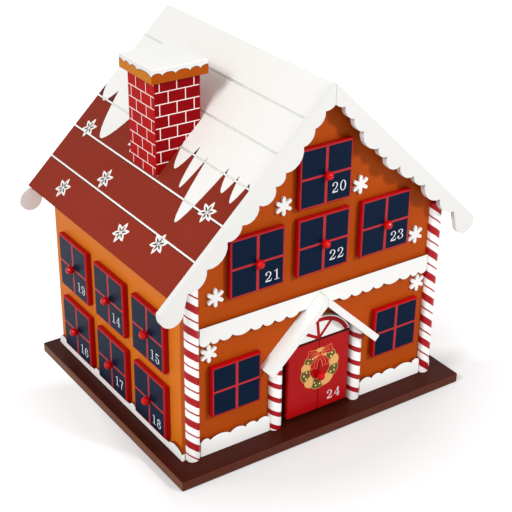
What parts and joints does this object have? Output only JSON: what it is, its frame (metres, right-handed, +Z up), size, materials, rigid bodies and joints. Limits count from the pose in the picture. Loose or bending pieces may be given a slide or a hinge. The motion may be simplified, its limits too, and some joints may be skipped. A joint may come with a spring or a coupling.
{
  "type": "refillable advent calendar",
  "caption": "Wooden gingerbread-house advent calendar with numbered pull-out drawers, a snowy gable roof, a chimney and a porch.",
  "frame": {"origin": "middle of the underside of the base board", "axes": "+X to the right along the front as a viewer in front of it sees it, the front with the door faces -Y, +Z up"},
  "size_m": [0.3052, 0.251, 0.3033],
  "materials": {
    "gingerbread": "matt gingerbread-orange paint",
    "snow_white": "matt white paint",
    "roof_brown": "matt printed red-brown boards under painted snow",
    "base_brown": "satin dark brown paint",
    "drawer_red": "satin red paint with a printed face",
    "brick_red": "matt printed brickwork",
    "cap_orange": "matt orange paint under painted snow",
    "candy_red": "satin white paint with red stripes",
    "raw_board": "bare fibreboard"
  },
  "bodies": {
    "house": {"base_board": "base_brown", "front_wall": "gingerbread", "back_wall": "gingerbread", "left_wall": "gingerbread", "right_wall": "gingerbread", "left_drawer_bay": "raw_board", "right_drawer_bay": "raw_board", "centre_bay": "raw_board", "left_roof_panel": "roof_brown", "right_roof_panel": "roof_brown", "front_fascia_left": "snow_white", "front_fascia_right": "snow_white", "back_fascia_left": "snow_white", "back_fascia_right": "snow_white", "chimney_stack": "brick_red", "chimney_cap": "cap_orange", "left_candy_column": "candy_red", "right_candy_column": "candy_red", "left_porch_roof": "snow_white", "right_porch_roof": "snow_white", "left_porch_post": "candy_red", "right_porch_post": "candy_red", "fan_window": "snow_white", "left_fixed_window": "drawer_red", "right_fixed_window": "drawer_red", "front_snow_band": "snow_white", "left_front_drift": "snow_white", "right_front_drift": "snow_white", "left_side_drift": "snow_white", "right_side_drift": "snow_white", "upper_snowflake_left": "snow_white", "upper_snowflake_right": "snow_white", "middle_snowflake_left": "snow_white", "middle_snowflake_right": "snow_white", "lower_snowflake_left": "snow_white", "lower_snowflake_right": "snow_white"},
    "numbered_drawer_01": {"drawer_01": "drawer_red"},
    "numbered_drawer_02": {"drawer_02": "drawer_red"},
    "numbered_drawer_03": {"drawer_03": "drawer_red"},
    "numbered_drawer_04": {"drawer_04": "drawer_red"},
    "numbered_drawer_05": {"drawer_05": "drawer_red"},
    "numbered_drawer_06": {"drawer_06": "drawer_red"},
    "numbered_drawer_07": {"drawer_07": "drawer_red"},
    "numbered_drawer_08": {"drawer_08": "drawer_red"},
    "numbered_drawer_09": {"drawer_09": "drawer_red"},
    "numbered_drawer_10": {"drawer_10": "drawer_red"},
    "numbered_drawer_11": {"drawer_11": "drawer_red"},
    "numbered_drawer_12": {"drawer_12": "drawer_red"},
    "numbered_drawer_13": {"drawer_13": "drawer_red"},
    "numbered_drawer_14": {"drawer_14": "drawer_red"},
    "numbered_drawer_15": {"drawer_15": "drawer_red"},
    "numbered_drawer_16": {"drawer_16": "drawer_red"},
    "numbered_drawer_17": {"drawer_17": "drawer_red"},
    "numbered_drawer_18": {"drawer_18": "drawer_red"},
    "numbered_drawer_19": {"drawer_19": "drawer_red"},
    "numbered_drawer_20": {"drawer_20": "drawer_red"},
    "numbered_drawer_21": {"drawer_21": "drawer_red"},
    "numbered_drawer_22": {"drawer_22": "drawer_red"},
    "numbered_drawer_23": {"drawer_23": "drawer_red"},
    "numbered_drawer_24": {"drawer_24": "drawer_red"}
  },
  "joints": [
    {"name": "drawer_01_slide", "type": "slide", "parent": "house", "child": "numbered_drawer_01", "axis": [0, 1, 0], "range_m": [0, 0.075]},
    {"name": "drawer_02_slide", "type": "slide", "parent": "house", "child": "numbered_drawer_02", "axis": [0, 1, 0], "range_m": [0, 0.075]},
    {"name": "drawer_03_slide", "type": "slide", "parent": "house", "child": "numbered_drawer_03", "axis": [0, 1, 0], "range_m": [0, 0.075]},
    {"name": "drawer_04_slide", "type": "slide", "parent": "house", "child": "numbered_drawer_04", "axis": [0, 1, 0], "range_m": [0, 0.075]},
    {"name": "drawer_05_slide", "type": "slide", "parent": "house", "child": "numbered_drawer_05", "axis": [0, 1, 0], "range_m": [0, 0.075]},
    {"name": "drawer_06_slide", "type": "slide", "parent": "house", "child": "numbered_drawer_06", "axis": [0, 1, 0], "range_m": [0, 0.075]},
    {"name": "drawer_07_slide", "type": "slide", "parent": "house", "child": "numbered_drawer_07", "axis": [0, 1, 0], "range_m": [0, 0.075]},
    {"name": "drawer_08_slide", "type": "slide", "parent": "house", "child": "numbered_drawer_08", "axis": [1, 0, 0], "range_m": [0, 0.045]},
    {"name": "drawer_09_slide", "type": "slide", "parent": "house", "child": "numbered_drawer_09", "axis": [1, 0, 0], "range_m": [0, 0.045]},
    {"name": "drawer_10_slide", "type": "slide", "parent": "house", "child": "numbered_drawer_10", "axis": [1, 0, 0], "range_m": [0, 0.045]},
    {"name": "drawer_11_slide", "type": "slide", "parent": "house", "child": "numbered_drawer_11", "axis": [1, 0, 0], "range_m": [0, 0.045]},
    {"name": "drawer_12_slide", "type": "slide", "parent": "house", "child": "numbered_drawer_12", "axis": [1, 0, 0], "range_m": [0, 0.045]},
    {"name": "drawer_13_slide", "type": "slide", "parent": "house", "child": "numbered_drawer_13", "axis": [1, 0, 0], "range_m": [0, 0.045]},
    {"name": "drawer_14_slide", "type": "slide", "parent": "house", "child": "numbered_drawer_14", "axis": [-1, 0, 0], "range_m": [0, 0.045]},
    {"name": "drawer_15_slide", "type": "slide", "parent": "house", "child": "numbered_drawer_15", "axis": [-1, 0, 0], "range_m": [0, 0.045]},
    {"name": "drawer_16_slide", "type": "slide", "parent": "house", "child": "numbered_drawer_16", "axis": [-1, 0, 0], "range_m": [0, 0.045]},
    {"name": "drawer_17_slide", "type": "slide", "parent": "house", "child": "numbered_drawer_17", "axis": [-1, 0, 0], "range_m": [0, 0.045]},
    {"name": "drawer_18_slide", "type": "slide", "parent": "house", "child": "numbered_drawer_18", "axis": [-1, 0, 0], "range_m": [0, 0.045]},
    {"name": "drawer_19_slide", "type": "slide", "parent": "house", "child": "numbered_drawer_19", "axis": [-1, 0, 0], "range_m": [0, 0.045]},
    {"name": "drawer_20_slide", "type": "slide", "parent": "house", "child": "numbered_drawer_20", "axis": [0, -1, 0], "range_m": [0, 0.075]},
    {"name": "drawer_21_slide", "type": "slide", "parent": "house", "child": "numbered_drawer_21", "axis": [0, -1, 0], "range_m": [0, 0.075]},
    {"name": "drawer_22_slide", "type": "slide", "parent": "house", "child": "numbered_drawer_22", "axis": [0, -1, 0], "range_m": [0, 0.075]},
    {"name": "drawer_23_slide", "type": "slide", "parent": "house", "child": "numbered_drawer_23", "axis": [0, -1, 0], "range_m": [0, 0.075]},
    {"name": "drawer_24_slide", "type": "slide", "parent": "house", "child": "numbered_drawer_24", "axis": [0, -1, 0], "range_m": [0, 0.075]}
  ]
}
